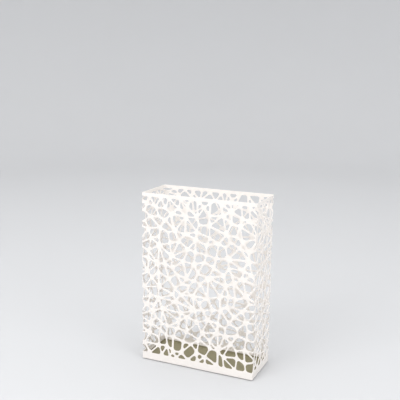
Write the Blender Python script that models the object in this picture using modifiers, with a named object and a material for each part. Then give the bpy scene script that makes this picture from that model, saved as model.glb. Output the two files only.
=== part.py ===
"""Umbrella stand: a slim open-topped box of cut-out sheet steel with a lift-out drip tray.

Units are metres and +Z is up. The origin is on the floor, midway between the four feet.
The body is sheet steel folded into a box. It is modelled as four flat walls that share one
cut-out pattern, drawn on the unrolled sheet, so ribs and openings run on round the corners.
"""
import math

import bmesh
import bpy
import numpy as np
from mathutils import Matrix, Vector
from mathutils.geometry import delaunay_2d_cdt

# Overall sizes of the folded body
WIDTH = 0.290
DEPTH = 0.120
BODY_HEIGHT = 0.420
SHEET = 0.0010

# Cut-out pattern
TOP_BAND = 0.008
BOTTOM_BAND = 0.0175
RIB_WIDTH = 0.0041
RIB_VARIATION = 0.25
JUNCTION_AREA = 0.00064
NEAREST_JUNCTIONS = 0.0165
BAND_JUNCTION_SPACING = 0.0245
BAND_VARIATION = 0.27
BEND_CLEARANCE = 0.0060
CELL_AREA = 0.00068
LARGEST_CELL_AREA = 0.0016
LONGEST_CELL = 0.046
MOST_CELL_SIDES = 6
SMALLEST_OPENING_AREA = 0.00004
BLUNT_LENGTH = 0.0035
BLUNT_SHARE = 0.4
FEWEST_RIBS = 3
CORNER_SLACK = 0.15
MERGE_DISORDER = 0.70
TRIES_PER_JUNCTION = 100
PATTERN_SEED = 3

# Base pan, spot welded inside the foot of the walls
PAN_SHEET = 0.0008
PAN_FLANGE = 0.0100

# Lift-out drip tray
TRAY_WALL = 0.0010
TRAY_LIP = 0.0040
TRAY_CORNER_RADIUS = 0.0040
TRAY_CORNER_STEPS = 5
TRAY_CLEARANCE = 0.0010

# Feet
FOOT_RADIUS = 0.0050
FOOT_HEIGHT = 0.0020
FOOT_INSET = 0.0110
FOOT_SIDES = 32

# Gap left between pieces that touch
SEAT_GAP = 0.0003

# How far a cutter reaches either side of a wall's outer face, and its welding distance
CUTTER_REACH = 0.003
WELD_DISTANCE = 0.000001

# Finishes: colour, metallic and roughness
FINISHES = {
    "white_powder_coat": ((0.90, 0.88, 0.85, 1.0), 0.0, 0.45),
    "olive_grey_plastic": ((0.25, 0.23, 0.16, 1.0), 0.0, 0.55),
    "dark_rubber": ((0.03, 0.03, 0.03, 1.0), 0.0, 0.80),
}

# Places that follow from the sizes above
GIRTH = 2.0 * (WIDTH + DEPTH)
BODY_BOTTOM = FOOT_HEIGHT + SEAT_GAP
PATTERN_LOW = BOTTOM_BAND
PATTERN_HIGH = BODY_HEIGHT - TOP_BAND
BENDS = (0.0, WIDTH, WIDTH + DEPTH, 2.0 * WIDTH + DEPTH)


# ---------------------------------------------------------------- cut-out pattern

def bend_distance(along):
    """Distance along the unrolled sheet from a place to the nearest bend."""
    return min(abs((along - bend + GIRTH / 2.0) % GIRTH - GIRTH / 2.0) for bend in BENDS)


def band_junctions(rng, height):
    """Junctions where ribs run into a plain band, unevenly spaced along its edge."""
    count = round(GIRTH / BAND_JUNCTION_SPACING)
    step = GIRTH / count
    places = [(index + rng.uniform(-BAND_VARIATION, BAND_VARIATION)) * step % GIRTH
              for index in range(count)]
    return [(along, height) for along in places if bend_distance(along) > BEND_CLEARANCE]


def scatter_junctions(rng):
    """Junctions over the whole sheet, at random but never near each other or a bend."""
    places = np.array(band_junctions(rng, PATTERN_LOW) + band_junctions(rng, PATTERN_HIGH))
    count = round(GIRTH * (PATTERN_HIGH - PATTERN_LOW) / JUNCTION_AREA)
    for _ in range(TRIES_PER_JUNCTION * count):
        if len(places) == count:
            break
        along = rng.uniform(0.0, GIRTH)
        up = rng.uniform(PATTERN_LOW, PATTERN_HIGH)
        across = np.abs(places[:, 0] - along)
        across = np.minimum(across, GIRTH - across)
        nearest = np.min(np.hypot(across, places[:, 1] - up))
        if nearest > NEAREST_JUNCTIONS and bend_distance(along) > BEND_CLEARANCE:
            places = np.vstack([places, (along, up)])
    return places


def triangulate(places):
    """Triangles between the junctions of the endless sheet, each corner as (junction, lap)."""
    laps = (-1, 0, 1)
    labels = [(index, lap) for lap in laps for index in range(len(places))]
    points = [Vector((places[index][0] + lap * GIRTH, places[index][1])) for index, lap in labels]
    _, _, faces, origins, _, _ = delaunay_2d_cdt(points, [], [], 0, 1e-9)
    triangles = []
    for face in faces:
        corners = [labels[origins[vertex][0]] for vertex in face]
        middle = sum(places[index][0] + lap * GIRTH for index, lap in corners) / 3.0
        if 0.0 <= middle < GIRTH:
            triangles.append(corners)
    return triangles


def corner_points(places, cell):
    """Corner positions of a cell on the unrolled sheet."""
    return np.array([(places[index][0] + lap * GIRTH, places[index][1]) for index, lap in cell])


def polygon_area(points):
    """Area of a polygon, positive when its corners run anticlockwise."""
    following = np.roll(points, -1, axis=0)
    return 0.5 * float(np.sum(points[:, 0] * following[:, 1] - following[:, 0] * points[:, 1]))


def is_convex(points):
    """True where no corner turns right by more than a little, which the rib's width hides."""
    edges = np.roll(points, -1, axis=0) - points
    onward = np.roll(edges, -1, axis=0)
    turns = edges[:, 0] * onward[:, 1] - edges[:, 1] * onward[:, 0]
    scale = np.hypot(edges[:, 0], edges[:, 1]) * np.hypot(onward[:, 0], onward[:, 1])
    return bool(np.all(turns > -CORNER_SLACK * scale))


def side_keys(cell):
    """One key for each side of a cell, the same whichever lap the cell is on."""
    sides = zip(cell, cell[1:] + cell[:1])
    return [(start[0], end[0], end[1] - start[1]) for start, end in sides]


def reversed_key(key):
    """The key of the same side seen from the cell beyond it."""
    return (key[1], key[0], -key[2])


def joined(cell, neighbour, key):
    """The cell made when the side between two cells is taken away."""
    place = side_keys(cell).index(key)
    place_beyond = side_keys(neighbour).index(reversed_key(key))
    opened = cell[place + 1:] + cell[:place + 1]
    beyond = neighbour[place_beyond + 1:] + neighbour[:place_beyond + 1]
    shift = opened[-1][1] - beyond[0][1]
    return opened + [(index, lap + shift) for index, lap in beyond[1:-1]]


def fits_as_cell(points):
    """True for a cell shape that the pattern may hold."""
    reach = np.max(np.hypot(*(points[:, None, :] - points[None, :, :]).transpose(2, 0, 1)))
    small = reach < LONGEST_CELL and polygon_area(points) < LARGEST_CELL_AREA
    return small and len(points) <= MOST_CELL_SIDES and is_convex(points)


def roundness(points):
    """Area over the square of the outline's length, largest for a compact cell."""
    sides = np.roll(points, -1, axis=0) - points
    return polygon_area(points) / float(np.sum(np.hypot(sides[:, 0], sides[:, 1]))) ** 2


def possible_joins(places, cells, owner, ribs, here):
    """Ways to join a cell to a neighbour: the side lost, and the cell that is made."""
    for key in side_keys(cells[here]):
        beyond = owner.get(reversed_key(key))
        if beyond is None or min(ribs[key[0]], ribs[key[1]]) <= FEWEST_RIBS:
            continue
        cell = joined(cells[here], cells[beyond], key)
        if fits_as_cell(corner_points(places, cell)):
            yield key, cell


def merge_cells(rng, places, triangles):
    """Join the smallest cells to a neighbour, one by one, until cells have their mean size."""
    cells = dict(enumerate(triangles))
    owner = {key: number for number, cell in cells.items() for key in side_keys(cell)}
    ribs = np.zeros(len(places), dtype=int)
    for start, _, _ in owner:
        ribs[start] += 1

    def rank(cell):
        """The cell's place in the queue: its area, shuffled a little."""
        shuffle = rng.uniform(1.0 - MERGE_DISORDER, 1.0 + MERGE_DISORDER)
        return polygon_area(corner_points(places, cell)) * shuffle

    queue = {number: rank(cell) for number, cell in cells.items()}
    target = round(GIRTH * (PATTERN_HIGH - PATTERN_LOW) / CELL_AREA)
    while queue and len(cells) > target:
        here = min(queue, key=queue.get)
        joins = list(possible_joins(places, cells, owner, ribs, here))
        if not joins:
            del queue[here]
            continue
        scores = [roundness(corner_points(places, cell)) * rng.uniform(1.0 - MERGE_DISORDER, 1.0)
                  for _, cell in joins]
        key, cell = joins[int(np.argmax(scores))]
        beyond = owner[reversed_key(key)]
        del owner[key], owner[reversed_key(key)], cells[beyond]
        queue.pop(beyond, None)
        cells[here] = cell
        queue[here] = rank(cell)
        for side in side_keys(cell):
            owner[side] = here
        ribs[key[0]] -= 1
        ribs[key[1]] -= 1
    return [cells[number] for number in sorted(cells)]


def clip(points, start, end, inset):
    """The part of a convex polygon that lies more than inset to the left of a line."""
    direction = (end - start) / np.hypot(*(end - start))
    normal = np.array((-direction[1], direction[0]))
    depth = (points - start) @ normal - inset
    kept = []
    for index in range(len(points)):
        following = (index + 1) % len(points)
        if depth[index] >= 0.0:
            kept.append(points[index])
        if (depth[index] >= 0.0) != (depth[following] >= 0.0):
            share = depth[index] / (depth[index] - depth[following])
            kept.append(points[index] + share * (points[following] - points[index]))
    return np.array(kept)


def rib_widths(rng, cells):
    """The width of the rib along each side, which differs from rib to rib; none on a band."""
    keys = [key for cell in cells for key in side_keys(cell)]
    widths = {}
    for key in keys:
        if reversed_key(key) in widths:
            widths[key] = widths[reversed_key(key)]
        else:
            widths[key] = RIB_WIDTH * rng.uniform(1.0 - RIB_VARIATION, 1.0 + RIB_VARIATION)
    known = set(keys)
    return {key: width if reversed_key(key) in known else 0.0 for key, width in widths.items()}


def without_short_sides(points, shortest=0.0006):
    """The polygon with corners left out that lie almost on their neighbour."""
    kept = [points[index] for index in range(len(points))
            if np.hypot(*(points[index] - points[index - 1])) > shortest]
    return np.array(kept)


def blunted(points):
    """The outline with its corners cut off, flat where the real ones are round."""
    kept = []
    for index, corner in enumerate(points):
        for other in (points[index - 1], points[(index + 1) % len(points)]):
            share = min(BLUNT_LENGTH / np.hypot(*(other - corner)), BLUNT_SHARE)
            kept.append(corner + (other - corner) * share)
    return without_short_sides(np.array(kept))


def openings():
    """Outlines of all the openings, on the unrolled sheet."""
    rng = np.random.default_rng(PATTERN_SEED)
    places = scatter_junctions(rng)
    cells = merge_cells(rng, places, triangulate(places))
    widths = rib_widths(rng, cells)
    outlines = []
    for cell in cells:
        corners = corner_points(places, cell)
        outline = corners
        for index, key in enumerate(side_keys(cell)):
            if len(outline) > 2:
                following = corners[(index + 1) % len(corners)]
                outline = clip(outline, corners[index], following, widths[key] / 2.0)
        if len(outline) > 2:
            outline = without_short_sides(outline)
        if len(outline) > 2 and polygon_area(outline) > SMALLEST_OPENING_AREA:
            outlines.append(blunted(outline))
    return outlines


def points_of_wall(outline, start, lap):
    """An opening's outline measured from the start of one wall."""
    return outline - np.array((start - lap * GIRTH, 0.0))


def wall_openings(outlines, start, length):
    """Outlines of the openings that reach into one wall, measured from where it starts."""
    for outline in outlines:
        for lap in (-1, 0, 1):
            moved = points_of_wall(outline, start, lap)
            if np.max(moved[:, 0]) > 0.0 and np.min(moved[:, 0]) < length:
                yield moved


# ---------------------------------------------------------------- making solids

def new_collection(name):
    """A collection linked to the scene."""
    collection = bpy.data.collections.new(name)
    bpy.context.scene.collection.children.link(collection)
    return collection


def finish_material(name):
    """A plain material with one of the listed finishes."""
    colour, metallic, roughness = FINISHES[name]
    material = bpy.data.materials.new(name)
    material.use_nodes = True
    shader = material.node_tree.nodes["Principled BSDF"]
    shader.inputs["Base Color"].default_value = colour
    shader.inputs["Metallic"].default_value = metallic
    shader.inputs["Roughness"].default_value = roughness
    material.diffuse_color = colour
    return material


def new_object(name, mesh, collection, material=None):
    """An object for a mesh, in a collection."""
    piece = bpy.data.objects.new(name, mesh)
    collection.objects.link(piece)
    if material is not None:
        mesh.materials.append(material)
    return piece


def block(low, high):
    """A rectangular block between two corners."""
    low, high = Vector(low), Vector(high)
    mesh = bmesh.new()
    bmesh.ops.create_cube(mesh, size=1.0)
    bmesh.ops.scale(mesh, vec=high - low, verts=mesh.verts)
    bmesh.ops.translate(mesh, vec=(low + high) / 2.0, verts=mesh.verts)
    return mesh


def to_mesh(mesh, name):
    """Data for an object from a mesh being edited, which is freed."""
    data = bpy.data.meshes.new(name)
    mesh.to_mesh(data)
    mesh.free()
    return data


def opening_cutter(name, outlines, collection):
    """Upright prisms through a wall, one for each opening, joined in one cutter."""
    curve = bpy.data.curves.new(name, "CURVE")
    curve.dimensions = "2D"
    curve.fill_mode = "BOTH"
    curve.extrude = CUTTER_REACH
    for outline in outlines:
        spline = curve.splines.new("POLY")
        spline.points.add(len(outline) - 1)
        for point, (along, up) in zip(spline.points, outline):
            point.co = (along, up, 0.0, 1.0)
        spline.use_cyclic_u = True
    drawing = new_object(name + "_drawing", curve, collection)
    drawing.rotation_euler = (math.pi / 2.0, 0.0, 0.0)
    bpy.context.view_layer.update()
    evaluated = drawing.evaluated_get(bpy.context.evaluated_depsgraph_get())
    prisms = bmesh.new()
    prisms.from_mesh(bpy.data.meshes.new_from_object(evaluated))
    bmesh.ops.transform(prisms, matrix=drawing.matrix_world, verts=prisms.verts)
    bmesh.ops.remove_doubles(prisms, verts=prisms.verts, dist=WELD_DISTANCE)
    bpy.data.objects.remove(drawing)
    cutter = new_object(name, to_mesh(prisms, name), collection)
    cutter.hide_render = True
    cutter.display_type = "WIRE"
    return cutter


def cut(piece, cutter):
    """Take a cutter's prisms out of a piece."""
    boolean = piece.modifiers.new("openings", "BOOLEAN")
    boolean.operation = "DIFFERENCE"
    boolean.solver = "EXACT"
    boolean.object = cutter


# ---------------------------------------------------------------- sub-parts

def wall(name, start, length, corner, turn, trim, outlines, parts, cutters, material):
    """One flat wall: a plain sheet with its share of the pattern cut through it.

    The wall runs along its own X from a corner of the body, outer face at Y = 0.
    """
    low = (trim, 0.0, 0.0)
    high = (length - trim, SHEET, BODY_HEIGHT)
    sheet = new_object(name, to_mesh(block(low, high), name), parts, material)
    cutter = opening_cutter(name + "_openings", wall_openings(outlines, start, length), cutters)
    for piece in (sheet, cutter):
        piece.location = (corner[0], corner[1], BODY_BOTTOM)
        piece.rotation_euler = (0.0, 0.0, turn)
    cut(sheet, cutter)


def walls(outlines, parts, cutters, material):
    """The four walls of the body, in order along the unrolled sheet."""
    trim = SHEET + SEAT_GAP
    across, back = WIDTH / 2.0, DEPTH / 2.0
    quarter = math.pi / 2.0
    layout = (
        ("front_panel", BENDS[0], WIDTH, (-across, -back), 0.0 * quarter, 0.0),
        ("right_panel", BENDS[1], DEPTH, (across, -back), 1.0 * quarter, trim),
        ("back_panel", BENDS[2], WIDTH, (across, back), 2.0 * quarter, 0.0),
        ("left_panel", BENDS[3], DEPTH, (-across, back), 3.0 * quarter, trim),
    )
    for name, start, length, corner, turn, ends in layout:
        wall(name, start, length, corner, turn, ends, outlines, parts, cutters, material)


def open_tray(name, half_size, bottom, top, thickness, radius, parts, material):
    """A shallow open tray: a floor and four walls of one thickness, measured outside."""
    mesh = block((-half_size[0], -half_size[1], bottom), (half_size[0], half_size[1], top))
    lid = [face for face in mesh.faces if face.normal.z > 0.5]
    bmesh.ops.delete(mesh, geom=lid, context="FACES_ONLY")
    if radius > 0.0:
        uprights = [edge for edge in mesh.edges
                    if abs(edge.verts[0].co.z - edge.verts[1].co.z) > thickness]
        bmesh.ops.bevel(mesh, geom=uprights, offset=radius, segments=TRAY_CORNER_STEPS,
                        profile=0.5, affect="EDGES")
    tray = new_object(name, to_mesh(mesh, name), parts, material)
    solidify = tray.modifiers.new("wall", "SOLIDIFY")
    solidify.thickness = thickness
    solidify.offset = -1.0
    solidify.use_even_offset = True
    return tray


def base_pan(parts, material):
    """The white base pan, whose flanges stand inside the plain foot of the walls."""
    margin = SHEET + SEAT_GAP
    half_size = (WIDTH / 2.0 - margin, DEPTH / 2.0 - margin)
    top = BODY_BOTTOM + PAN_FLANGE
    open_tray("base_pan", half_size, BODY_BOTTOM, top, PAN_SHEET, 0.0, parts, material)


def drip_tray(parts, material):
    """The tray that lifts out through the top, lying loose in the base pan."""
    margin = SHEET + SEAT_GAP + PAN_SHEET + TRAY_CLEARANCE
    half_size = (WIDTH / 2.0 - margin, DEPTH / 2.0 - margin)
    bottom = BODY_BOTTOM + PAN_SHEET + SEAT_GAP
    top = bottom + TRAY_WALL + TRAY_LIP
    open_tray("drip_tray", half_size, bottom, top, TRAY_WALL, TRAY_CORNER_RADIUS, parts, material)


def feet(parts, material):
    """Four round pads stuck under the corners of the base pan."""
    for side, across in (("left", -1.0), ("right", 1.0)):
        for end, back in (("front", -1.0), ("back", 1.0)):
            name = "foot_" + end + "_" + side
            mesh = bmesh.new()
            bmesh.ops.create_cone(mesh, cap_ends=True, segments=FOOT_SIDES, radius1=FOOT_RADIUS,
                                  radius2=FOOT_RADIUS, depth=FOOT_HEIGHT)
            foot = new_object(name, to_mesh(mesh, name), parts, material)
            foot.location = (across * (WIDTH / 2.0 - FOOT_INSET),
                             back * (DEPTH / 2.0 - FOOT_INSET), FOOT_HEIGHT / 2.0)


def main():
    """Clear the scene and build the umbrella stand."""
    for piece in list(bpy.data.objects):
        bpy.data.objects.remove(piece)
    parts = new_collection("umbrella_stand")
    cutters = new_collection("cutters")
    white = finish_material("white_powder_coat")
    walls(openings(), parts, cutters, white)
    base_pan(parts, white)
    drip_tray(parts, finish_material("olive_grey_plastic"))
    feet(parts, finish_material("dark_rubber"))


main()
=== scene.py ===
"""Umbrella stand: the finished look of a folded, cut-out steel body with its pan, tray and feet.

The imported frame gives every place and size. Each operator makes one piece, or a group of like
pieces, in the finish of the real thing; the first one sets the stage.
"""
import math

import bmesh
import bpy
import numpy as np
from bpy.props import FloatProperty, FloatVectorProperty, IntProperty, PointerProperty
from mathutils import Matrix, Vector
from mathutils.geometry import delaunay_2d_cdt


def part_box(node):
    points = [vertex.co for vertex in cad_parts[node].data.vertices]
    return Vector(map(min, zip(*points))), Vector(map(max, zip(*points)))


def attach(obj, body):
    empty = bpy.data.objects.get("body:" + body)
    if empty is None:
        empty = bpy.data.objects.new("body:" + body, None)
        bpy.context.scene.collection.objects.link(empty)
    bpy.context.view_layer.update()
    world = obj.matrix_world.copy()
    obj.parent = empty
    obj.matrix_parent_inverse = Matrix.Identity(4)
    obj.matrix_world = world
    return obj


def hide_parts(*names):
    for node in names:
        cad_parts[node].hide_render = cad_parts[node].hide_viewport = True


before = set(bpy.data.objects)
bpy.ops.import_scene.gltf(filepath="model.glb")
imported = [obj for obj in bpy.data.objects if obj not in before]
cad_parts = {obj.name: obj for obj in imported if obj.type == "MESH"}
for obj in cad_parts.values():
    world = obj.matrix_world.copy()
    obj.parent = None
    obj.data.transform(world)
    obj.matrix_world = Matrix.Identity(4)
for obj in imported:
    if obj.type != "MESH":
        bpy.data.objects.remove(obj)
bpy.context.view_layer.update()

bl_info = {
    "name": "Umbrella Stand",
    "version": (1, 0, 0),
    "blender": (4, 5, 0),
    "location": "View3D > Sidebar > Umbrella Stand",
    "description": "Builds a slim umbrella stand of cut-out sheet steel",
    "category": "Add Mesh",
}

# Places closer than this are one place
TINY = 0.000001
# Edges that meet at a larger angle than this stay sharp
SHARP_ANGLE = math.radians(32.0)
# Two edges whose directions have a lower cosine than this run on in one line
STRAIGHT = -0.9999
# Sides of an opening below this length are left out
SHORTEST_SIDE = 0.0006
# Steps in a quarter turn of a ring's round corner
RING_STEPS = 8
# Width of a soft light
LIGHT_SIZE = 1.6

# Sockets that share a name with others on their node, by number
MIX_FACTOR, MIX_FIRST, MIX_SECOND, MIX_RESULT = 0, 6, 7, 2
COMPARE_FIRST, COMPARE_SECOND = 0, 1
COMPARE_FIRST_WHOLE, COMPARE_SECOND_WHOLE = 2, 3


# ---- sizes read from the frame

def outer_box(*nodes):
    """Lowest and highest corner of several of the frame's nodes."""
    corners = [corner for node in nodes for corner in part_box(node)]
    low = Vector([min(corner[axis] for corner in corners) for axis in range(3)])
    high = Vector([max(corner[axis] for corner in corners) for axis in range(3)])
    return low, high


def tidy_size(value):
    """A length to the nearest hundredth of a millimetre."""
    return round(value, 5)


WALLS = ("front_panel", "right_panel", "back_panel", "left_panel")
FEET = ("foot_front_left", "foot_front_right", "foot_back_left", "foot_back_right")
BODY_LOW, BODY_HIGH = outer_box(*WALLS)
WIDTH = tidy_size(BODY_HIGH.x - BODY_LOW.x)
DEPTH = tidy_size(BODY_HIGH.y - BODY_LOW.y)
HEIGHT = tidy_size(BODY_HIGH.z - BODY_LOW.z)
BODY_BOTTOM = BODY_LOW.z
SHEET = tidy_size(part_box("front_panel")[1].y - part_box("front_panel")[0].y)
GIRTH = 2.0 * (WIDTH + DEPTH)
BENDS = (0.0, WIDTH, WIDTH + DEPTH, 2.0 * WIDTH + DEPTH)


def past_bend(along, bend):
    """How far a place along the sheet lies past a bend, the short way round."""
    return (along - bend + GIRTH / 2.0) % GIRTH - GIRTH / 2.0


# ---- settings

class PatternSettings(bpy.types.PropertyGroup):
    """The cut-out pattern on the unrolled sheet."""

    top_band: FloatProperty(
        name="Top band", description="Height of the plain band round the top",
        default=0.008, min=0.0, unit="LENGTH")
    bottom_band: FloatProperty(
        name="Bottom band", description="Height of the plain band round the foot",
        default=0.0175, min=0.0, unit="LENGTH")
    rib_width: FloatProperty(
        name="Rib width", description="Mean width of the ribs between openings",
        default=0.0041, min=0.0005, unit="LENGTH")
    rib_variation: FloatProperty(
        name="Rib variation", description="How far one rib's width differs from the mean",
        default=0.25, min=0.0, max=0.9, subtype="FACTOR")
    junction_area: FloatProperty(
        name="Area per junction", description="Sheet area for each junction between ribs",
        default=0.00064, min=0.0001, unit="AREA")
    nearest_junctions: FloatProperty(
        name="Nearest junctions", description="Least distance between two junctions",
        default=0.0165, min=0.001, unit="LENGTH")
    band_spacing: FloatProperty(
        name="Band spacing", description="Mean distance between junctions along a band",
        default=0.0245, min=0.001, unit="LENGTH")
    band_variation: FloatProperty(
        name="Band variation", description="How unevenly the junctions lie along a band",
        default=0.27, min=0.0, max=0.45, subtype="FACTOR")
    bend_clearance: FloatProperty(
        name="Bend clearance", description="Least distance from a junction to a bend",
        default=0.006, min=0.0, unit="LENGTH")
    cell_area: FloatProperty(
        name="Mean cell", description="Mean sheet area for each opening and its ribs",
        default=0.00068, min=0.0001, unit="AREA")
    largest_cell: FloatProperty(
        name="Largest cell", description="Largest sheet area that one cell may take",
        default=0.0016, min=0.0001, unit="AREA")
    longest_cell: FloatProperty(
        name="Longest cell", description="Greatest distance across one cell",
        default=0.046, min=0.001, unit="LENGTH")
    most_sides: IntProperty(
        name="Most sides", description="Most sides that one cell may have",
        default=6, min=3)
    fewest_ribs: IntProperty(
        name="Fewest ribs", description="Fewest ribs that meet at a junction",
        default=3, min=3)
    corner_slack: FloatProperty(
        name="Corner slack", description="How far a corner may turn the wrong way",
        default=0.15, min=0.0, max=0.5, subtype="FACTOR")
    disorder: FloatProperty(
        name="Disorder", description="How far chance decides which cells are joined",
        default=0.70, min=0.0, max=1.0, subtype="FACTOR")
    smallest_opening: FloatProperty(
        name="Smallest opening", description="Openings below this area are left out",
        default=0.00004, min=0.0, unit="AREA")
    tries: IntProperty(
        name="Tries", description="Places tried for each junction",
        default=100, min=1)
    seed: IntProperty(
        name="Seed", description="Picks one of the many possible patterns",
        default=3, min=0)


class BodySettings(bpy.types.PropertyGroup):
    """The folded sheet."""

    bend_radius: FloatProperty(
        name="Bend radius", description="Outer radius of the four folded corners",
        default=0.0025, min=0.001, unit="LENGTH")
    bend_steps: IntProperty(
        name="Bend steps", description="Flat strips that make up one folded corner",
        default=6, min=2)
    corner_length: FloatProperty(
        name="Corner length", description="Length of each side that an opening's round corner takes",
        default=0.0064, min=0.0, unit="LENGTH")
    corner_variation: FloatProperty(
        name="Corner variation", description="How far one round corner differs from the mean",
        default=0.40, min=0.0, max=0.9, subtype="FACTOR")
    least_corner: FloatProperty(
        name="Least corner", description="Least radius of an opening's corner",
        default=0.0012, min=0.0, unit="LENGTH")
    corner_steps: IntProperty(
        name="Corner steps", description="Straight pieces that make up one round corner",
        default=5, min=1)
    edge_softness: FloatProperty(
        name="Edge softness", description="Width of the coated edge's chamfer",
        default=0.0002, min=0.0, unit="LENGTH")


class BaseSettings(bpy.types.PropertyGroup):
    """The base pan, the drip tray and the feet."""

    pan_sheet: FloatProperty(
        name="Pan sheet", description="Thickness of the base pan's steel",
        default=0.0008, min=0.0002, unit="LENGTH")
    pan_bend: FloatProperty(
        name="Pan bend", description="Outer radius where the pan's flanges turn up",
        default=0.0016, min=0.0005, unit="LENGTH")
    pan_gap: FloatProperty(
        name="Pan gap", description="Gap between the pan's flanges and the body",
        default=0.00005, min=0.0, unit="LENGTH")
    tray_wall: FloatProperty(
        name="Tray wall", description="Thickness of the drip tray",
        default=0.001, min=0.0005, unit="LENGTH")
    tray_corner: FloatProperty(
        name="Tray corner", description="Radius of the tray's corners seen from above",
        default=0.004, min=0.001, unit="LENGTH")
    tray_fillet: FloatProperty(
        name="Tray fillet", description="Inner radius between the tray's floor and its lip",
        default=0.0014, min=0.0002, unit="LENGTH")
    tray_draft: FloatProperty(
        name="Tray draft", description="How far the lip leans out from foot to rim",
        default=0.0003, min=0.0, unit="LENGTH")
    foot_edge: FloatProperty(
        name="Foot edge", description="Radius of the rounded lower edge of a foot",
        default=0.0006, min=0.0, unit="LENGTH")
    foot_adhesive: FloatProperty(
        name="Adhesive step", description="How far the adhesive disc stands back from a foot's rim",
        default=0.0004, min=0.0, unit="LENGTH")


class FinishSettings(bpy.types.PropertyGroup):
    """Colours of the finishes."""

    white: FloatVectorProperty(
        name="Powder coat", description="Colour of the powder-coated steel",
        default=(0.815, 0.774, 0.736), size=3, min=0.0, max=1.0, subtype="COLOR")
    olive: FloatVectorProperty(
        name="Tray", description="Colour of the drip tray",
        default=(0.226, 0.205, 0.120), size=3, min=0.0, max=1.0, subtype="COLOR")
    rubber: FloatVectorProperty(
        name="Rubber", description="Colour of the feet",
        default=(0.03, 0.03, 0.03), size=3, min=0.0, max=1.0, subtype="COLOR")
    ground: FloatVectorProperty(
        name="Floor", description="Colour of the studio floor",
        default=(0.54, 0.545, 0.555), size=3, min=0.0, max=1.0, subtype="COLOR")


class StageSettings(bpy.types.PropertyGroup):
    """Camera and light."""

    azimuth: FloatProperty(
        name="Azimuth", description="Camera's angle round the stand from straight in front",
        default=math.radians(23.84), subtype="ANGLE")
    elevation: FloatProperty(
        name="Elevation", description="Camera's downward tilt",
        default=math.radians(11.39), subtype="ANGLE")
    roll: FloatProperty(
        name="Roll", description="Camera's turn about its own view",
        default=math.radians(0.727), subtype="ANGLE")
    distance: FloatProperty(
        name="Distance", description="Camera's distance from the stand",
        default=1.612, min=0.1, unit="LENGTH")
    aside: FloatProperty(
        name="Aside", description="How far right of the stand's middle the camera aims",
        default=-0.018, unit="LENGTH")
    above: FloatProperty(
        name="Above", description="How far above the stand's middle the camera aims",
        default=0.190, unit="LENGTH")
    lens: FloatProperty(
        name="Focal length", description="Camera's focal length in millimetres",
        default=59.68, min=1.0, unit="CAMERA")
    key_power: FloatProperty(
        name="Key light", description="Power of the large light in front",
        default=45.0, min=0.0, unit="POWER")
    fill_power: FloatProperty(
        name="Fill light", description="Power of the light on the right",
        default=24.0, min=0.0, unit="POWER")
    surround: FloatProperty(
        name="Surround", description="Brightness of the white studio all round",
        default=1.72, min=0.0)


class StandSettings(bpy.types.PropertyGroup):
    """All the settings of the umbrella stand."""

    pattern: PointerProperty(type=PatternSettings)
    body: PointerProperty(type=BodySettings)
    base: PointerProperty(type=BaseSettings)
    finish: PointerProperty(type=FinishSettings)
    stage: PointerProperty(type=StageSettings)


def plain(value):
    """A property's value without the digits that its single precision adds."""
    return round(value, 7)


# ---- building node trees

class Socket:
    """A node's output in an expression: arithmetic on it adds Math nodes to its tree."""

    def __init__(self, tree, socket):
        self.tree = tree
        self.socket = socket

    def maths(self, operation, *values):
        """The result of a Math node on these values."""
        return self.tree.add("ShaderNodeMath", {"operation": operation}, dict(enumerate(values)))

    def __add__(self, other):
        return self.maths("ADD", self, other)

    def __radd__(self, other):
        return self.maths("ADD", other, self)

    def __sub__(self, other):
        return self.maths("SUBTRACT", self, other)

    def __rsub__(self, other):
        return self.maths("SUBTRACT", other, self)

    def __mul__(self, other):
        return self.maths("MULTIPLY", self, other)

    def __rmul__(self, other):
        return self.maths("MULTIPLY", other, self)

    def __neg__(self):
        return self.maths("MULTIPLY", self, -1.0)


class NodeTree:
    """A node tree under construction."""

    def __init__(self, tree):
        self.tree = tree

    def add(self, kind, settings=None, inputs=None, output=0):
        """A new node of a kind, with its settings and its sockets' values or links."""
        node = self.tree.nodes.new(kind)
        for name, value in (settings or {}).items():
            if name == "stops":
                self.set_stops(node.color_ramp, value)
            else:
                setattr(node, name, value)
        for name, value in (inputs or {}).items():
            self.feed(node.inputs[name], value)
        return Socket(self, node.outputs[output]) if len(node.outputs) else None

    def feed(self, socket, value):
        """Link or set one input; a list of links goes to one socket that takes several."""
        if isinstance(value, list):
            for single in value:
                self.feed(socket, single)
        elif isinstance(value, Socket):
            self.tree.links.new(value.socket, socket)
        else:
            socket.default_value = value

    def other(self, socket, output):
        """Another output of the node that a socket belongs to."""
        return Socket(self, socket.socket.node.outputs[output])

    @staticmethod
    def set_stops(ramp, stops):
        """The two stops of a colour ramp, as (place, grey)."""
        for element, (place, grey) in zip(ramp.elements, stops):
            element.position = place
            element.color = (grey, grey, grey, 1.0)


# ---- materials

def object_coordinates(nodes):
    """Places on the piece in metres."""
    return nodes.add("ShaderNodeTexCoord", output="Object")


def noise(nodes, coordinates, scale, detail, roughness=0.5):
    """Soft noise from 0 to 1."""
    values = {"Vector": coordinates, "Scale": scale, "Detail": detail, "Roughness": roughness}
    return nodes.add("ShaderNodeTexNoise", None, values)


def blended(nodes, share, first, second):
    """A colour that goes from one to another as share goes from 0 to 1."""
    values = {MIX_FACTOR: share, MIX_FIRST: (*first, 1.0), MIX_SECOND: (*second, 1.0)}
    return nodes.add("ShaderNodeMix", {"data_type": "RGBA"}, values, output=MIX_RESULT)


def shaded(colour, factor):
    """A colour made lighter or darker."""
    return tuple(min(1.0, channel * factor) for channel in colour)


def new_material(name):
    """A material with its shader, and the tree to build its inputs in."""
    material = bpy.data.materials.new(name)
    material.use_nodes = True
    shader = material.node_tree.nodes["Principled BSDF"]
    return material, shader, NodeTree(material.node_tree)


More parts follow.
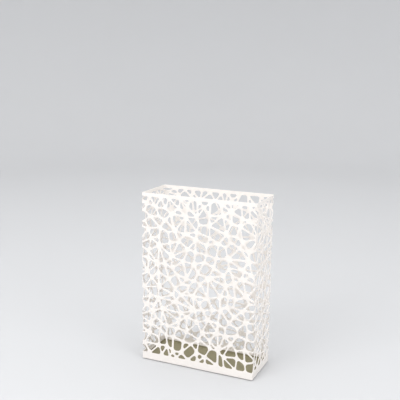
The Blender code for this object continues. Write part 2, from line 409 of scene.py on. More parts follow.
def bump(nodes, height, distance, strength):
    """A normal that follows a height from 0 to 1, over a distance in metres."""
    values = {"Height": height, "Distance": distance, "Strength": strength}
    return nodes.add("ShaderNodeBump", None, values)


def powder_coat(colour):
    """Warm white powder coat: a fine orange-peel skin over steel, a little uneven in gloss."""
    material, shader, nodes = new_material("white_powder_coat")
    places = object_coordinates(nodes)
    cloud = noise(nodes, places, scale=18.0, detail=3.0)
    peel = noise(nodes, places, scale=900.0, detail=2.0, roughness=0.6)
    grain = noise(nodes, places, scale=3200.0, detail=1.0)
    tone = blended(nodes, cloud, shaded(colour, 0.975), shaded(colour, 1.015))
    nodes.feed(shader.inputs["Base Color"], tone)
    nodes.feed(shader.inputs["Roughness"], 0.36 + 0.10 * cloud + 0.08 * grain)
    skin = 0.75 * peel + 0.25 * grain
    nodes.feed(shader.inputs["Normal"], bump(nodes, skin, distance=0.00006, strength=0.6))
    shader.inputs["Specular IOR Level"].default_value = 0.45
    return material


def moulded_plastic(colour):
    """Olive-grey moulded plastic with a spark-eroded grain and faint scuffs."""
    material, shader, nodes = new_material("olive_grey_plastic")
    places = object_coordinates(nodes)
    cloud = noise(nodes, places, scale=14.0, detail=4.0, roughness=0.6)
    grain = noise(nodes, places, scale=2600.0, detail=2.0, roughness=0.7)
    stretch = nodes.add("ShaderNodeMapping", None, {"Vector": places, "Scale": (30.0, 260.0, 60.0)})
    scuffs = noise(nodes, stretch, scale=1.0, detail=3.0, roughness=0.6)
    worn = nodes.add("ShaderNodeValToRGB", {"stops": ((0.60, 0.0), (0.72, 1.0))}, {"Fac": scuffs})
    tone = blended(nodes, cloud, shaded(colour, 0.90), shaded(colour, 1.12))
    nodes.feed(shader.inputs["Base Color"], tone)
    nodes.feed(shader.inputs["Roughness"], 0.50 + 0.10 * grain - 0.10 * worn)
    nodes.feed(shader.inputs["Normal"], bump(nodes, grain, distance=0.00005, strength=0.7))
    return material


def dark_rubber(colour):
    """Dark matt rubber with a fine sanded skin."""
    material, shader, nodes = new_material("dark_rubber")
    places = object_coordinates(nodes)
    grain = noise(nodes, places, scale=3800.0, detail=3.0, roughness=0.7)
    dust = noise(nodes, places, scale=260.0, detail=3.0)
    tone = blended(nodes, dust, shaded(colour, 0.8), shaded(colour, 1.8))
    nodes.feed(shader.inputs["Base Color"], tone)
    nodes.feed(shader.inputs["Roughness"], 0.70 + 0.18 * grain)
    nodes.feed(shader.inputs["Normal"], bump(nodes, grain, distance=0.00004, strength=0.8))
    return material


def studio_floor(colour):
    """The plain pale floor."""
    material, shader, nodes = new_material("studio_floor")
    cloud = noise(nodes, object_coordinates(nodes), scale=1.5, detail=2.0)
    tone = blended(nodes, cloud, shaded(colour, 0.99), shaded(colour, 1.01))
    nodes.feed(shader.inputs["Base Color"], tone)
    shader.inputs["Roughness"].default_value = 0.9
    shader.inputs["Specular IOR Level"].default_value = 0.1
    return material


# ---- the cut-out pattern

def polygon_area(points):
    """Area of a polygon, positive when its corners run anticlockwise."""
    following = np.roll(points, -1, axis=0)
    return 0.5 * float(np.sum(points[:, 0] * following[:, 1] - following[:, 0] * points[:, 1]))


def roundness(points):
    """Area over the square of the outline's length, largest for a compact cell."""
    sides = np.roll(points, -1, axis=0) - points
    return polygon_area(points) / float(np.sum(np.hypot(sides[:, 0], sides[:, 1]))) ** 2


def side_keys(cell):
    """One key for each side of a cell, the same whichever lap the cell is on."""
    sides = zip(cell, cell[1:] + cell[:1])
    return [(start[0], end[0], end[1] - start[1]) for start, end in sides]


def reversed_key(key):
    """The key of the same side seen from the cell beyond it."""
    return (key[1], key[0], -key[2])


def joined(cell, neighbour, key):
    """The cell made when the side between two cells is taken away."""
    place = side_keys(cell).index(key)
    place_beyond = side_keys(neighbour).index(reversed_key(key))
    opened = cell[place + 1:] + cell[:place + 1]
    beyond = neighbour[place_beyond + 1:] + neighbour[:place_beyond + 1]
    shift = opened[-1][1] - beyond[0][1]
    return opened + [(index, lap + shift) for index, lap in beyond[1:-1]]


def clip(points, start, end, inset):
    """The part of a convex polygon that lies more than inset to the left of a line."""
    direction = (end - start) / np.hypot(*(end - start))
    normal = np.array((-direction[1], direction[0]))
    depth = (points - start) @ normal - inset
    kept = []
    for index in range(len(points)):
        following = (index + 1) % len(points)
        if depth[index] >= 0.0:
            kept.append(points[index])
        if (depth[index] >= 0.0) != (depth[following] >= 0.0):
            share = depth[index] / (depth[index] - depth[following])
            kept.append(points[index] + share * (points[following] - points[index]))
    return np.array(kept)


def without_short_sides(points):
    """The polygon with corners left out that lie almost on their neighbour."""
    kept = [points[index] for index in range(len(points))
            if np.hypot(*(points[index] - points[index - 1])) > SHORTEST_SIDE]
    return np.array(kept)


class CutPattern:
    """The openings on the unrolled sheet, drawn by the same rule as the frame's walls.

    The sheet is endless: a place is a distance along it, from the front left bend, and a
    height. A cell's corners are pairs of a junction and the lap it is on.
    """

    def __init__(self, settings):
        for name in settings.__annotations__:
            setattr(self, name, plain(getattr(settings, name)))
        self.low = self.bottom_band
        self.high = HEIGHT - self.top_band
        self.rng = np.random.default_rng(self.seed)
        self.places = self.scatter_junctions()
        self.ribs = np.zeros(len(self.places), dtype=int)

    def bend_distance(self, along):
        """Distance along the sheet from a place to the nearest bend."""
        return min(abs(past_bend(along, bend)) for bend in BENDS)

    def band_junctions(self, height):
        """Junctions where ribs run into a plain band, unevenly spaced along its edge."""
        count = round(GIRTH / self.band_spacing)
        step = GIRTH / count
        spread = self.band_variation
        places = [(index + self.rng.uniform(-spread, spread)) * step % GIRTH
                  for index in range(count)]
        return [(along, height) for along in places
                if self.bend_distance(along) > self.bend_clearance]

    def scatter_junctions(self):
        """Junctions over the whole sheet, at random but never near each other or a bend."""
        places = np.array(self.band_junctions(self.low) + self.band_junctions(self.high))
        count = round(GIRTH * (self.high - self.low) / self.junction_area)
        for _ in range(self.tries * count):
            if len(places) == count:
                break
            along = self.rng.uniform(0.0, GIRTH)
            up = self.rng.uniform(self.low, self.high)
            across = np.abs(places[:, 0] - along)
            across = np.minimum(across, GIRTH - across)
            nearest = np.min(np.hypot(across, places[:, 1] - up))
            if nearest > self.nearest_junctions and self.bend_distance(along) > self.bend_clearance:
                places = np.vstack([places, (along, up)])
        return places

    def triangles(self):
        """Triangles between the junctions of the endless sheet."""
        places = self.places
        laps = (-1, 0, 1)
        labels = [(index, lap) for lap in laps for index in range(len(places))]
        points = [Vector((places[index][0] + lap * GIRTH, places[index][1]))
                  for index, lap in labels]
        _, _, faces, origins, _, _ = delaunay_2d_cdt(points, [], [], 0, 1e-9)
        found = []
        for face in faces:
            corners = [labels[origins[vertex][0]] for vertex in face]
            middle = sum(places[index][0] + lap * GIRTH for index, lap in corners) / 3.0
            if 0.0 <= middle < GIRTH:
                found.append(corners)
        return found

    def corner_points(self, cell):
        """Corner positions of a cell on the unrolled sheet."""
        return np.array([(self.places[index][0] + lap * GIRTH, self.places[index][1])
                         for index, lap in cell])

    def is_convex(self, points):
        """True where no corner turns right by more than a little, which the ribs hide."""
        edges = np.roll(points, -1, axis=0) - points
        onward = np.roll(edges, -1, axis=0)
        turns = edges[:, 0] * onward[:, 1] - edges[:, 1] * onward[:, 0]
        scale = np.hypot(edges[:, 0], edges[:, 1]) * np.hypot(onward[:, 0], onward[:, 1])
        return bool(np.all(turns > -self.corner_slack * scale))

    def fits_as_cell(self, points):
        """True for a cell shape that the pattern may hold."""
        reach = np.max(np.hypot(*(points[:, None, :] - points[None, :, :]).transpose(2, 0, 1)))
        small = reach < self.longest_cell and polygon_area(points) < self.largest_cell
        return small and len(points) <= self.most_sides and self.is_convex(points)

    def possible_joins(self, cells, owner, here):
        """Ways to join a cell to a neighbour: the side lost, and the cell that is made."""
        for key in side_keys(cells[here]):
            beyond = owner.get(reversed_key(key))
            if beyond is None or min(self.ribs[key[0]], self.ribs[key[1]]) <= self.fewest_ribs:
                continue
            cell = joined(cells[here], cells[beyond], key)
            if self.fits_as_cell(self.corner_points(cell)):
                yield key, cell

    def rank(self, cell):
        """A cell's place in the queue: its area, shuffled a little."""
        shuffle = self.rng.uniform(1.0 - self.disorder, 1.0 + self.disorder)
        return polygon_area(self.corner_points(cell)) * shuffle

    def merged_cells(self):
        """Cells made by joining the smallest ones until they have their mean size."""
        cells = dict(enumerate(self.triangles()))
        owner = {key: number for number, cell in cells.items() for key in side_keys(cell)}
        for start, _, _ in owner:
            self.ribs[start] += 1
        queue = {number: self.rank(cell) for number, cell in cells.items()}
        target = round(GIRTH * (self.high - self.low) / self.cell_area)
        while queue and len(cells) > target:
            here = min(queue, key=queue.get)
            joins = list(self.possible_joins(cells, owner, here))
            if not joins:
                del queue[here]
                continue
            scores = [roundness(self.corner_points(cell)) * self.rng.uniform(1.0 - self.disorder, 1.0)
                      for _, cell in joins]
            key, cell = joins[int(np.argmax(scores))]
            beyond = owner[reversed_key(key)]
            del owner[key], owner[reversed_key(key)], cells[beyond]
            queue.pop(beyond, None)
            cells[here] = cell
            queue[here] = self.rank(cell)
            for side in side_keys(cell):
                owner[side] = here
            self.ribs[key[0]] -= 1
            self.ribs[key[1]] -= 1
        return [cells[number] for number in sorted(cells)]

    def rib_widths(self, cells):
        """The width of the rib along each side; none on a band."""
        keys = [key for cell in cells for key in side_keys(cell)]
        spread = self.rib_variation
        widths = {}
        for key in keys:
            if reversed_key(key) in widths:
                widths[key] = widths[reversed_key(key)]
            else:
                widths[key] = self.rib_width * self.rng.uniform(1.0 - spread, 1.0 + spread)
        known = set(keys)
        return {key: width if reversed_key(key) in known else 0.0
                for key, width in widths.items()}

    def openings(self):
        """Outlines of all the openings, anticlockwise."""
        cells = self.merged_cells()
        widths = self.rib_widths(cells)
        outlines = []
        for cell in cells:
            corners = self.corner_points(cell)
            outline = corners
            for index, key in enumerate(side_keys(cell)):
                if len(outline) > 2:
                    following = corners[(index + 1) % len(corners)]
                    outline = clip(outline, corners[index], following, widths[key] / 2.0)
            if len(outline) > 2:
                outline = without_short_sides(outline)
            if len(outline) > 2 and polygon_area(outline) > self.smallest_opening:
                outlines.append(outline)
        return outlines


# ---- making pieces

def new_piece(name, data):
    """An object in the scene for a mesh or a curve."""
    piece = bpy.data.objects.new(name, data)
    bpy.context.scene.collection.objects.link(piece)
    return piece


def piece_from_bmesh(name, mesh, material):
    """A finished piece from a mesh being edited, shaded smooth between its real edges."""
    data = bpy.data.meshes.new(name)
    mesh.to_mesh(data)
    mesh.free()
    data.materials.clear()
    data.materials.append(material)
    data.shade_smooth()
    data.set_sharp_from_angle(angle=SHARP_ANGLE)
    return new_piece(name, data)


def hand_over(piece, body, slot, *nodes):
    """Let a piece ride on its body and stand for the frame's nodes."""
    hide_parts(*nodes)
    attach(piece, body)


def evaluated_mesh(piece, name):
    """A plain mesh of a piece as its modifiers leave it; the piece itself is removed."""
    bpy.context.view_layer.update()
    evaluated = piece.evaluated_get(bpy.context.evaluated_depsgraph_get())
    data = bpy.data.meshes.new_from_object(evaluated)
    data.name = name
    bpy.data.objects.remove(piece)
    return data


def add_tree(piece, tree, values):
    """A Geometry Nodes modifier on a piece, with its named inputs set."""
    modifier = piece.modifiers.new(tree.name, "NODES")
    modifier.node_group = tree
    for item in tree.interface.items_tree:
        if item.item_type == "SOCKET" and item.in_out == "INPUT" and item.name in values:
            modifier[item.identifier] = values[item.name]
    return modifier


def new_geometry_tree(name, inputs):
    """An empty Geometry Nodes tree with its inputs, which are given as (name, socket type)."""
    tree = bpy.data.node_groups.new(name, "GeometryNodeTree")
    tree.interface.new_socket("Geometry", in_out="INPUT", socket_type="NodeSocketGeometry")
    for label, kind in inputs:
        tree.interface.new_socket(label, in_out="INPUT", socket_type=kind)
    tree.interface.new_socket("Geometry", in_out="OUTPUT", socket_type="NodeSocketGeometry")
    return tree


def end_tree(nodes, geometry, material):
    """End a tree in real geometry with its material."""
    real = nodes.add("GeometryNodeRealizeInstances", None, {"Geometry": geometry})
    finished = nodes.add("GeometryNodeSetMaterial", None, {"Geometry": real, "Material": material})
    nodes.add("NodeGroupOutput", None, {"Geometry": finished})


# ---- folded body

def corner_radii(outline, settings, rng):
    """A radius for each corner of an opening: open corners are rounder than sharp ones."""
    before = np.roll(outline, 1, axis=0) - outline
    after = np.roll(outline, -1, axis=0) - outline
    cosine = np.sum(before * after, axis=1)
    cosine /= np.hypot(before[:, 0], before[:, 1]) * np.hypot(after[:, 0], after[:, 1])
    half_angle = np.arccos(np.clip(cosine, -1.0, 1.0)) / 2.0
    spread = settings.corner_variation
    length = settings.corner_length * rng.uniform(1.0 - spread, 1.0 + spread, len(outline))
    return np.maximum(length * np.tan(half_angle), settings.least_corner)


def add_outline(curve, points, radii):
    """A closed outline in a curve; each point's radius is that of its round corner."""
    spline = curve.splines.new("POLY")
    spline.points.add(len(points) - 1)
    for point, (along, up), radius in zip(spline.points, points, radii):
        point.co = (along, up, 0.0, 1.0)
        point.radius = radius
    spline.use_cyclic_u = True


def sheet_drawing(settings):
    """The drawing of the flat sheet: its border and its openings, with spare at both ends."""
    seam = -DEPTH / 2.0
    margin = 0.004
    spare = plain(settings.pattern.longest_cell) + margin
    low, high = seam - spare, seam + GIRTH + spare
    curve = bpy.data.curves.new("sheet_drawing", "CURVE")
    curve.dimensions = "2D"
    border = ((low, 0.0), (high, 0.0), (high, HEIGHT), (low, HEIGHT))
    add_outline(curve, border, (0.0, 0.0, 0.0, 0.0))
    rng = np.random.default_rng(settings.pattern.seed + 1)
    for outline in CutPattern(settings.pattern).openings():
        radii = corner_radii(outline, settings.body, rng)
        for lap in (-1, 0, 1):
            moved = outline + np.array((lap * GIRTH, 0.0))
            if low < np.min(moved[:, 0]) and np.max(moved[:, 0]) < high:
                add_outline(curve, moved[::-1], radii[::-1])
    return new_piece("sheet_drawing", curve)


def cut_sheet_tree():
    """Geometry Nodes tree that turns a drawing into a flat sheet with soft, thick edges."""
    tree = new_geometry_tree("Cut Sheet", (
        ("Sheet thickness", "NodeSocketFloat"),
        ("Edge softness", "NodeSocketFloat"),
        ("Corner steps", "NodeSocketInt"),
        ("Weld distance", "NodeSocketFloat"),
        ("Material", "NodeSocketMaterial"),
    ))
    nodes = NodeTree(tree)
    drawing = nodes.add("NodeGroupInput")
    thickness = nodes.other(drawing, "Sheet thickness")
    softness = nodes.other(drawing, "Edge softness")
    round_corners = nodes.add("GeometryNodeFilletCurve", {"mode": "POLY"}, {
        "Curve": drawing,
        "Count": nodes.other(drawing, "Corner steps"),
        "Radius": nodes.add("GeometryNodeInputRadius"),
        "Limit Radius": True,
    })
    outlines = nodes.add("GeometryNodeSetCurveRadius", None, {"Curve": round_corners, "Radius": 1.0})
    corners = (
        (-softness, 0.0),
        (0.0, softness),
        (0.0, thickness - softness),
        (-softness, thickness),
    )
    points = {"Point " + str(number + 1): nodes.add("ShaderNodeCombineXYZ", None, {0: x, 1: y})
              for number, (x, y) in enumerate(corners)}
    lips = nodes.add("GeometryNodeCurvePrimitiveQuadrilateral", {"mode": "POINTS"}, points)
    edge_profile = nodes.add("GeometryNodeSetSplineCyclic", None, {"Geometry": lips, "Cyclic": False})
    edges = nodes.add("GeometryNodeCurveToMesh", None, {
        "Curve": outlines, "Profile Curve": edge_profile, "Fill Caps": False})
    height = nodes.other(nodes.add("ShaderNodeSeparateXYZ", None, {
        "Vector": nodes.add("GeometryNodeInputPosition")}), "Z")
    on_rim = nodes.add("FunctionNodeCompare", {"data_type": "INT", "operation": "EQUAL"}, {
        COMPARE_FIRST_WHOLE: nodes.add("GeometryNodeInputMeshEdgeNeighbors"),
        COMPARE_SECOND_WHOLE: 1})
    is_front = nodes.add("FunctionNodeCompare", {"operation": "GREATER_THAN"}, {
        COMPARE_FIRST: height, COMPARE_SECOND: thickness * -0.5})
    faces = []
    for front in (True, False):
        side = is_front if front else nodes.add(
            "FunctionNodeBooleanMath", {"operation": "NOT"}, {0: is_front})
        rim = nodes.add("FunctionNodeBooleanMath", {"operation": "AND"}, {0: on_rim, 1: side})
        rims = nodes.add("GeometryNodeMeshToCurve", None, {"Mesh": edges, "Selection": rim})
        face = nodes.add("GeometryNodeFillCurve", {"mode": "TRIANGLES"}, {"Curve": rims})
        if not front:
            down = nodes.add("ShaderNodeCombineXYZ", None, {2: -thickness})
            lowered = nodes.add("GeometryNodeSetPosition", None, {"Geometry": face, "Offset": down})
            face = nodes.add("GeometryNodeFlipFaces", None, {"Mesh": lowered})
        faces.append(face)
    joined_up = nodes.add("GeometryNodeJoinGeometry", None, {"Geometry": [edges] + faces})
    welded = nodes.add("GeometryNodeMergeByDistance", None, {
        "Geometry": joined_up, "Distance": nodes.other(drawing, "Weld distance")})
    end_tree(nodes, welded, nodes.other(drawing, "Material"))
    return tree


def cut_across(sheet, along, keep=0):
    """Cut the flat sheet's faces along one upright line; keep says which side stays."""
    bmesh.ops.bisect_plane(
        sheet, geom=sheet.verts[:] + sheet.edges[:] + sheet.faces[:], dist=TINY / 10.0,
        plane_co=(along, 0.0, 0.0), plane_no=(1.0, 0.0, 0.0),
        clear_outer=keep < 0, clear_inner=keep > 0)


def straighten_end(sheet, along):
    """Leave only real corners along a cut end, so that both ends match."""
    spare = []
    for vertex in sheet.verts:
        if abs(vertex.co.x - along) > TINY:
            continue
        rim = [edge.other_vert(vertex).co - vertex.co for edge in vertex.link_edges if edge.is_boundary]
        if len(rim) == 2 and rim[0].normalized().dot(rim[1].normalized()) < STRAIGHT:
            spare.append(vertex)
    bmesh.ops.dissolve_verts(sheet, verts=spare)


def bend_lines(bend_radius, steps):
    """Places of the lines where the flat sheet is creased, a few for each bend."""
    support = 2.0 * bend_radius
    for bend in BENDS:
        yield bend - support
        for step in range(steps + 1):
            yield bend - bend_radius + 2.0 * bend_radius * step / steps
        yield bend + support


def fold(sheet, bend_radius):
    """Fold the flat sheet round its four bends into the body, outer face outwards."""
    low, high = BODY_LOW, BODY_HIGH
    walls = (
        (Vector((low.x, low.y, 0.0)), Vector((0.0, -1.0, 0.0))),
        (Vector((high.x, low.y, 0.0)), Vector((1.0, 0.0, 0.0))),
        (Vector((high.x, high.y, 0.0)), Vector((0.0, 1.0, 0.0))),
        (Vector((low.x, high.y, 0.0)), Vector((-1.0, 0.0, 0.0))),
    )
    for vertex in sheet.verts:
        along = vertex.co.x % GIRTH
        depth = -vertex.co.z
        near = min(range(len(BENDS)), key=lambda index: abs(past_bend(along, BENDS[index])))
        past = past_bend(along, BENDS[near])
        corner, outward = walls[near]
        before = walls[near - 1][1]
        centre = corner - (outward + before) * bend_radius
        if past <= -bend_radius:
            place = centre + before * (bend_radius - depth) + outward * (past + bend_radius)
        elif past >= bend_radius:
            place = centre + outward * (bend_radius - depth) - before * (past - bend_radius)
        else:
            turn = (past + bend_radius) / (2.0 * bend_radius) * math.pi / 2.0
            facing = before * math.cos(turn) + outward * math.sin(turn)
            place = centre + facing * (bend_radius - depth)
        vertex.co = (place.x, place.y, BODY_BOTTOM + vertex.co.y)


def make_folded_body(settings, material):
    """The body: one sheet cut out flat, then folded round its four bends and welded shut."""
    drawing = sheet_drawing(settings)
    add_tree(drawing, cut_sheet_tree(), {
        "Sheet thickness": SHEET,
        "Edge softness": settings.body.edge_softness,
        "Corner steps": settings.body.corner_steps,
        "Weld distance": TINY,
        "Material": material,
    })
    flat = evaluated_mesh(drawing, "flat_sheet")
    sheet = bmesh.new()
    sheet.from_mesh(flat)
    bpy.data.meshes.remove(flat)
    seam = -DEPTH / 2.0
    cut_across(sheet, seam, keep=1)
    cut_across(sheet, seam + GIRTH, keep=-1)
    straighten_end(sheet, seam)
    straighten_end(sheet, seam + GIRTH)
    bend_radius = settings.body.bend_radius
    for line in bend_lines(bend_radius, settings.body.bend_steps):
        cut_across(sheet, line)
    fold(sheet, bend_radius)
    bmesh.ops.remove_doubles(sheet, verts=sheet.verts, dist=2.0 * TINY)
    bmesh.ops.recalc_face_normals(sheet, faces=sheet.faces)
    body = piece_from_bmesh("folded_body", sheet, material)
    hand_over(body, "stand", "white_steel", *WALLS)


# ---- pan, tray and feet

def rounded_ring(half_x, half_y, radius, height):
    """Points round a rectangle with round corners, anticlockwise from above."""
    points = []
    for turn, (side_x, side_y) in enumerate(((1, 1), (-1, 1), (-1, -1), (1, -1))):
        centre = Vector((side_x * (half_x - radius), side_y * (half_y - radius), height))
        for step in range(RING_STEPS + 1):
            angle = math.pi / 2.0 * (turn + step / RING_STEPS)
            points.append(centre + radius * Vector((math.cos(angle), math.sin(angle), 0.0)))
    return points


def arc(centre, radius, first, last, steps):
    """Points on an arc in a profile, from one angle to another in degrees."""
    angles = [math.radians(first + (last - first) * step / steps) for step in range(steps + 1)]
    return [(centre[0] + radius * math.cos(angle), centre[1] + radius * math.sin(angle))
            for angle in angles]


def lofted(rings):
    """A closed skin through rings of points, with a flat face on the first and last."""
    mesh = bmesh.new()
    loops = [[mesh.verts.new(point) for point in ring] for ring in rings]
    for lower, upper in zip(loops, loops[1:]):
        for index in range(len(lower)):
            following = (index + 1) % len(lower)
            mesh.faces.new((lower[index], lower[following], upper[following], upper[index]))
    mesh.faces.new(reversed(loops[0]))
    mesh.faces.new(loops[-1])
    bmesh.ops.recalc_face_normals(mesh, faces=mesh.faces)
    return mesh


def tray_rings(half_x, half_y, corner, profile):
    """Rings round a rectangle for a profile of (inset, height) pairs."""
    least = 0.0002
    return [rounded_ring(half_x - inset, half_y - inset, max(corner - inset, least), height)
            for inset, height in profile]


def make_base_pan(settings, material):
    """The base pan: pressed steel, its flanges turned up inside the foot of the body."""
    base = settings.base
    low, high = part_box("base_pan")
    sheet, bend, soft = base.pan_sheet, base.pan_bend, base.pan_sheet / 4.0
    half_x = WIDTH / 2.0 - SHEET - base.pan_gap
    half_y = DEPTH / 2.0 - SHEET - base.pan_gap
    profile = arc((bend, low.z + bend), bend, 270.0, 180.0, 5)
    profile += arc((soft, high.z - soft), soft, 180.0, 90.0, 2)
    profile += arc((sheet - soft, high.z - soft), soft, 90.0, 0.0, 2)
    profile += arc((bend, low.z + bend), bend - sheet, 180.0, 270.0, 5)
    corner = settings.body.bend_radius - SHEET
    pan = piece_from_bmesh("base_pan_pressing", lofted(tray_rings(half_x, half_y, corner, profile)),
                           material)
    hand_over(pan, "stand", "white_steel", "base_pan")


def make_drip_tray(settings, material):
    """The drip tray: a shallow moulding with a round rim that lifts out through the top."""
    base = settings.base
    low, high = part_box("drip_tray")
    wall, fillet, draft = base.tray_wall, base.tray_fillet, base.tray_draft
    rim = wall / 2.0
    half_x, half_y = (high.x - low.x) / 2.0, (high.y - low.y) / 2.0
    outer = fillet + 0.5 * wall
    profile = arc((draft + outer, low.z + outer), outer, 270.0, 180.0, 6)
    profile += arc((rim, high.z - rim), rim, 180.0, 0.0, 8)
    profile += arc((wall + draft + fillet, low.z + wall + fillet), fillet, 180.0, 270.0, 6)
    tray = piece_from_bmesh("drip_tray_moulding",
                            lofted(tray_rings(half_x, half_y, base.tray_corner, profile)), material)
    hand_over(tray, "tray", "tray_plastic", "drip_tray")


def foot_profile(radius, height, base):
    """A foot's outline from its underside's middle to the pan's underside, as (radius, height)."""
    edge, step = base.foot_edge, base.foot_adhesive
    pan_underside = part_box("base_pan")[0].z
    outline = [(0.0, 0.0)]
    outline += arc((radius - edge, edge), edge, -90.0, 0.0, 4)
    lip, chamfer = 0.0001, 0.00015
    outline += [(radius - lip, height - chamfer), (radius - lip - chamfer, height)]
    outline += [(radius - step, height), (radius - step, pan_underside), (0.0, pan_underside)]
    return outline


def turned(profile, steps):
    """A skin turned from a profile of (radius, height) pairs that starts on the axis."""
    mesh = bmesh.new()
    vertices = [mesh.verts.new((radius, 0.0, height)) for radius, height in profile]
    edges = [mesh.edges.new(pair) for pair in zip(vertices, vertices[1:])]
    bmesh.ops.spin(mesh, geom=vertices + edges, cent=(0.0, 0.0, 0.0), axis=(0.0, 0.0, 1.0),
                   angle=2.0 * math.pi, steps=steps, use_merge=True)
    bmesh.ops.remove_doubles(mesh, verts=mesh.verts, dist=TINY)
    bmesh.ops.recalc_face_normals(mesh, faces=mesh.faces)
    return mesh


def feet_tree():
    """Geometry Nodes tree that sets one foot at each corner of a rectangle."""
    tree = new_geometry_tree("Four Feet", (
        ("Spacing across", "NodeSocketFloat"),
        ("Spacing deep", "NodeSocketFloat"),
        ("Material", "NodeSocketMaterial"),
    ))
    nodes = NodeTree(tree)
    foot = nodes.add("NodeGroupInput")
    corners = nodes.add("GeometryNodeMeshGrid", None, {
        "Size X": nodes.other(foot, "Spacing across"), "Size Y": nodes.other(foot, "Spacing deep"),
        "Vertices X": 2, "Vertices Y": 2})
    placed = nodes.add("GeometryNodeInstanceOnPoints", None, {"Points": corners, "Instance": foot})
    end_tree(nodes, placed, nodes.other(foot, "Material"))
    return tree


def make_feet(settings, material):
    """The four rubber feet, stuck under the corners of the pan."""
    low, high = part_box("foot_front_left")
    far_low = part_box("foot_back_right")[0]
    radius, height = (high.x - low.x) / 2.0, high.z - low.z
    data = bpy.data.meshes.new("foot")
    solid = turned(foot_profile(radius, height, settings.base), 40)
    solid.to_mesh(data)
    solid.free()
    foot = new_piece("foot", data)
    add_tree(foot, feet_tree(), {
        "Spacing across": far_low.x - low.x,
        "Spacing deep": far_low.y - low.y,
        "Material": material,
    })
    feet = bmesh.new()
    placed = evaluated_mesh(foot, "placed_feet")
    feet.from_mesh(placed)
    bpy.data.meshes.remove(placed)
    pads = piece_from_bmesh("rubber_feet", feet, material)
    hand_over(pads, "stand", "foot_rubber", *FEET)


# ---- stage

def make_floor(colour):
    """A wide pale floor that rises in a soft curve all round."""
    flat, sweep, rim = 3.2, 1.6, 4.5
    profile = [(0.0, 0.0)] + arc((flat, sweep), sweep, -90.0, 0.0, 12) + [(flat + sweep, rim)]
    floor = piece_from_bmesh("studio_floor", turned(profile, 64), studio_floor(colour))


def make_light(name, size, power, place, target):
    """A square soft light that shines from one place to another."""
    data = bpy.data.lights.new(name, "AREA")
    data.shape = "SQUARE"
    data.size = size
    data.energy = power
    light = new_piece(name, data)
    light.location = place
    light.rotation_euler = (target - place).to_track_quat("-Z", "Y").to_euler()


def make_camera(stage, middle):
    """The camera, aimed beside and above the stand's middle."""
    turn, tilt, roll = stage.azimuth, stage.elevation, stage.roll
    back = Vector((math.sin(turn) * math.cos(tilt), -math.cos(turn) * math.cos(tilt), math.sin(tilt)))
    level = Vector((math.cos(turn), math.sin(turn), 0.0))
    upright = back.cross(level)
    right = math.cos(roll) * level + math.sin(roll) * upright
    up = math.cos(roll) * upright - math.sin(roll) * level
    data = bpy.data.cameras.new("camera")
    data.lens = stage.lens
    data.clip_start = 0.01
    camera = new_piece("camera", data)
    place = middle + back * stage.distance + level * stage.aside + upright * stage.above
    camera.matrix_world = Matrix.Translation(place) @ Matrix((right, up, back)).transposed().to_4x4()
    bpy.context.scene.camera = camera


def make_world(brightness):
    """An even white studio all round."""
    world = bpy.data.worlds.new("studio")
    world.use_nodes = True
    background = world.node_tree.nodes["Background"]
    background.inputs["Color"].default_value = (1.0, 1.0, 1.0, 1.0)
    background.inputs["Strength"].default_value = brightness
    bpy.context.scene.world = world


# ---- operators

class BuildOperator:
    """What the operators share."""

    bl_options = {"REGISTER", "UNDO"}

    def execute(self, context):
        self.build(context.scene.umbrella_stand)
        return {"FINISHED"}


class UMBRELLASTAND_OT_folded_body(BuildOperator, bpy.types.Operator):
    """Cut the sheet's pattern flat and fold it into the body"""

    bl_idname = "umbrella_stand.folded_body"
    bl_label = "Folded Body"

    def build(self, settings):
        make_folded_body(settings, shared_coat(settings))


class UMBRELLASTAND_OT_base_pan(BuildOperator, bpy.types.Operator):
    """Press the base pan"""

    bl_idname = "umbrella_stand.base_pan"
    bl_label = "Base Pan"

    def build(self, settings):
        make_base_pan(settings, shared_coat(settings))


class UMBRELLASTAND_OT_drip_tray(BuildOperator, bpy.types.Operator):
    """Mould the drip tray"""

    bl_idname = "umbrella_stand.drip_tray"
    bl_label = "Drip Tray"

    def build(self, settings):
        make_drip_tray(settings, moulded_plastic(settings.finish.olive))


class UMBRELLASTAND_OT_feet(BuildOperator, bpy.types.Operator):
    """Turn one rubber foot and set it at the four corners"""

    bl_idname = "umbrella_stand.feet"
    bl_label = "Feet"

    def build(self, settings):
        make_feet(settings, dark_rubber(settings.finish.rubber))


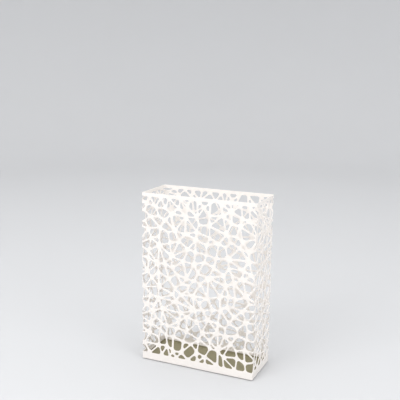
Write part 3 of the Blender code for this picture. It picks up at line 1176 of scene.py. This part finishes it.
class UMBRELLASTAND_OT_stage(BuildOperator, bpy.types.Operator):
    """Set the floor, the lights, the studio and the camera"""

    bl_idname = "umbrella_stand.stage"
    bl_label = "Stage"

    def build(self, settings):
        stage = settings.stage
        middle = (BODY_LOW + BODY_HIGH) / 2.0
        make_floor(settings.finish.ground)
        key_place, fill_place = Vector((-1.0, -2.4, 1.9)), Vector((2.4, -0.9, 1.4))
        make_light("key_light", LIGHT_SIZE, stage.key_power, key_place, middle)
        make_light("fill_light", LIGHT_SIZE, stage.fill_power, fill_place, middle)
        make_world(stage.surround)
        make_camera(stage, middle)
        bpy.context.scene.view_settings.view_transform = "Standard"


class VIEW3D_PT_umbrella_stand(bpy.types.Panel):
    """Buttons and settings for the umbrella stand."""

    bl_label = "Umbrella Stand"
    bl_space_type = "VIEW_3D"
    bl_region_type = "UI"
    bl_category = "Umbrella Stand"

    def draw(self, context):
        settings = context.scene.umbrella_stand
        for operator in OPERATORS:
            self.layout.operator(operator.bl_idname)
        for label, group in (("Pattern", settings.pattern), ("Body", settings.body),
                             ("Base", settings.base), ("Finish", settings.finish),
                             ("Stage", settings.stage)):
            box = self.layout.box()
            box.label(text=label)
            for name in group.__annotations__:
                box.prop(group, name)


def shared_coat(settings):
    """The powder coat, made once and shared by the steel pieces."""
    return bpy.data.materials.get("white_powder_coat") or powder_coat(settings.finish.white)


OPERATORS = (
    UMBRELLASTAND_OT_stage,
    UMBRELLASTAND_OT_folded_body,
    UMBRELLASTAND_OT_base_pan,
    UMBRELLASTAND_OT_drip_tray,
    UMBRELLASTAND_OT_feet,
)
GROUPS = (PatternSettings, BodySettings, BaseSettings, FinishSettings, StageSettings, StandSettings)
CLASSES = GROUPS + OPERATORS + (VIEW3D_PT_umbrella_stand,)


def register():
    """Add the classes and the scene's settings."""
    for new_class in CLASSES:
        bpy.utils.register_class(new_class)
    bpy.types.Scene.umbrella_stand = PointerProperty(type=StandSettings)


def unregister():
    """Take the settings and the classes away."""
    del bpy.types.Scene.umbrella_stand
    for old_class in reversed(CLASSES):
        bpy.utils.unregister_class(old_class)


def main():
    register()
    for operator in OPERATORS:
        group, name = operator.bl_idname.split(".")
        getattr(getattr(bpy.ops, group), name)()


if __name__ == "__main__":
    main()
